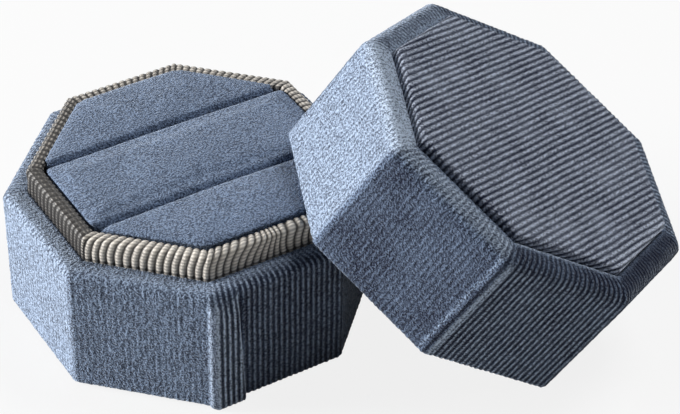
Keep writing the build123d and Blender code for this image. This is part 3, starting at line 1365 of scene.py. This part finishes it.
# ---------------------------------------------------------------------------------- the studio
@dataclass
class Camera:
    """The photograph's camera: turned round the box and tipped down, in degrees and millimetres."""

    azimuth: float = -32.28
    elevation: float = 38.61
    roll: float = 1.19
    distance: float = 381.5
    target: tuple[float, float, float] = (24.11, -6.99, 12.0)
    lens: float = 121.1

    def build(self) -> None:
        """Makes the camera and sets it as the scene's."""
        turned, painted_sheen_share, rolled = (math.radians(v) for v in (self.azimuth, self.elevation, self.roll))
        back = Vector(
            (
                math.sin(turned) * math.cos(painted_sheen_share),
                -math.cos(turned) * math.cos(painted_sheen_share),
                math.sin(painted_sheen_share),
            )
        )
        right = Vector((math.cos(turned), math.sin(turned), 0))
        up = back.cross(right)
        rolled_right = right * math.cos(rolled) + up * math.sin(rolled)
        rolled_up = up * math.cos(rolled) - right * math.sin(rolled)
        data = bpy.data.cameras.new("camera")
        data.sensor_fit = "HORIZONTAL"
        data.lens = self.lens
        data.clip_start = 0.01
        data.clip_end = 20
        camera = bpy.data.objects.new("camera", data)
        columns = Matrix((rolled_right, rolled_up, back)).transposed()
        place = (Vector(self.target) + back * self.distance) * MM
        camera.matrix_world = Matrix.Translation(place) @ columns.to_4x4()
        bpy.context.scene.collection.objects.link(camera)
        bpy.context.scene.camera = camera


@dataclass
class Lamp:
    """A soft square lamp that faces the box."""

    name: str
    azimuth: float
    elevation: float
    power: float
    size: float
    colour: str = "#FFFFFF"
    distance: float = 0.9
    aim: tuple[float, float, float] = (0.02, -0.015, 0.015)

    def build(self) -> None:
        """Makes the lamp."""
        turned, lifted = math.radians(self.azimuth), math.radians(self.elevation)
        towards = Vector(
            (math.cos(turned) * math.cos(lifted), math.sin(turned) * math.cos(lifted), math.sin(lifted))
        )
        data = bpy.data.lights.new(self.name, "AREA")
        data.shape = "SQUARE"
        data.size = self.size
        data.energy = self.power
        data.color = linear(self.colour)[:3]
        lamp = bpy.data.objects.new(self.name, data)
        lamp.location = Vector(self.aim) + towards * self.distance
        lamp.rotation_mode = "QUATERNION"
        lamp.rotation_quaternion = towards.to_track_quat("Z", "Y")
        bpy.context.scene.collection.objects.link(lamp)


@dataclass
class Studio:
    """A pale floor and plain soft light from the left."""

    fill: float = 0.04
    floor_size: float = 6.0
    floor_drop: float = 0.00002
    floor_shown: float = 0.15

    def seen(self, tree: bpy.types.NodeTree) -> bpy.types.NodeSocket:
        """Adds nodes that tell what the camera sees, also in metal or through glass.

        Args:
            tree: the node tree that gets them.

        Returns:
            A socket that is 1 where the camera sees the surface and 0 where it lights another.
        """
        path = add_node(tree, "ShaderNodeLightPath")
        seen = add_node(
            tree,
            "ShaderNodeMath",
            {"operation": "MAXIMUM"},
            {0: path.outputs["Is Camera Ray"], 1: path.outputs["Is Glossy Ray"]},
        )
        through = add_node(
            tree,
            "ShaderNodeMath",
            {"operation": "MAXIMUM"},
            {0: seen.outputs[0], 1: path.outputs["Is Transmission Ray"]},
        )
        return through.outputs[0]

    def floor(self) -> None:
        """Makes the floor, which the camera sees as near white with a faint shadow."""
        bm = bmesh.new()
        bmesh.ops.create_grid(bm, x_segments=1, y_segments=1, size=self.floor_size / 2)
        bmesh.ops.translate(bm, verts=bm.verts, vec=(0, 0, -self.floor_drop))
        mesh = bpy.data.meshes.new("floor")
        bm.to_mesh(mesh)
        bm.free()
        material = bpy.data.materials.new("pale_floor")
        material.use_nodes = True
        tree = material.node_tree
        tree.nodes.clear()
        matt = add_node(tree, "ShaderNodeBsdfDiffuse", inputs={"Color": linear("#E6E6E6")})
        white = add_node(tree, "ShaderNodeEmission", inputs={"Color": (1, 1, 1, 1), "Strength": 1.0})
        mixed = add_node(
            tree,
            "ShaderNodeMixShader",
            inputs={0: 1 - self.floor_shown, 1: matt.outputs[0], 2: white.outputs[0]},
        )
        chosen = add_node(
            tree,
            "ShaderNodeMixShader",
            inputs={0: self.seen(tree), 1: matt.outputs[0], 2: mixed.outputs[0]},
        )
        add_node(tree, "ShaderNodeOutputMaterial", inputs={"Surface": chosen.outputs[0]})
        mesh.materials.append(material)
        floor = bpy.data.objects.new("floor", mesh)
        bpy.context.scene.collection.objects.link(floor)

    def world(self) -> None:
        """Makes the surroundings: white to the camera, and a soft fill on the box."""
        world = bpy.data.worlds.new("surroundings")
        world.use_nodes = True
        tree = world.node_tree
        tree.nodes.clear()
        soft = add_node(
            tree, "ShaderNodeBackground", inputs={"Color": linear("#F2F6FF"), "Strength": self.fill}
        )
        white = add_node(tree, "ShaderNodeBackground", inputs={"Color": (1, 1, 1, 1), "Strength": 1.0})
        mixed = add_node(
            tree,
            "ShaderNodeMixShader",
            inputs={0: self.seen(tree), 1: soft.outputs[0], 2: white.outputs[0]},
        )
        add_node(tree, "ShaderNodeOutputWorld", inputs={"Surface": mixed.outputs[0]})
        bpy.context.scene.world = world

    def build(self) -> None:
        """Makes the floor, the surroundings, the lamps and the camera."""
        self.floor()
        self.world()
        Lamp("key", azimuth=146, elevation=10, power=19, size=0.4).build()
        Lamp("overhead", azimuth=0, elevation=60, power=4.6, size=0.4).build()
        Camera().build()
        bpy.context.scene.view_settings.view_transform = "Standard"


def main() -> None:
    """Loads the frame, builds the studio and the box."""
    logging.basicConfig(level=logging.INFO, format="%(name)s: %(message)s")
    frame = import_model()
    Studio().build()
    RingBox(frame).build()


if __name__ == "__main__":
    main()
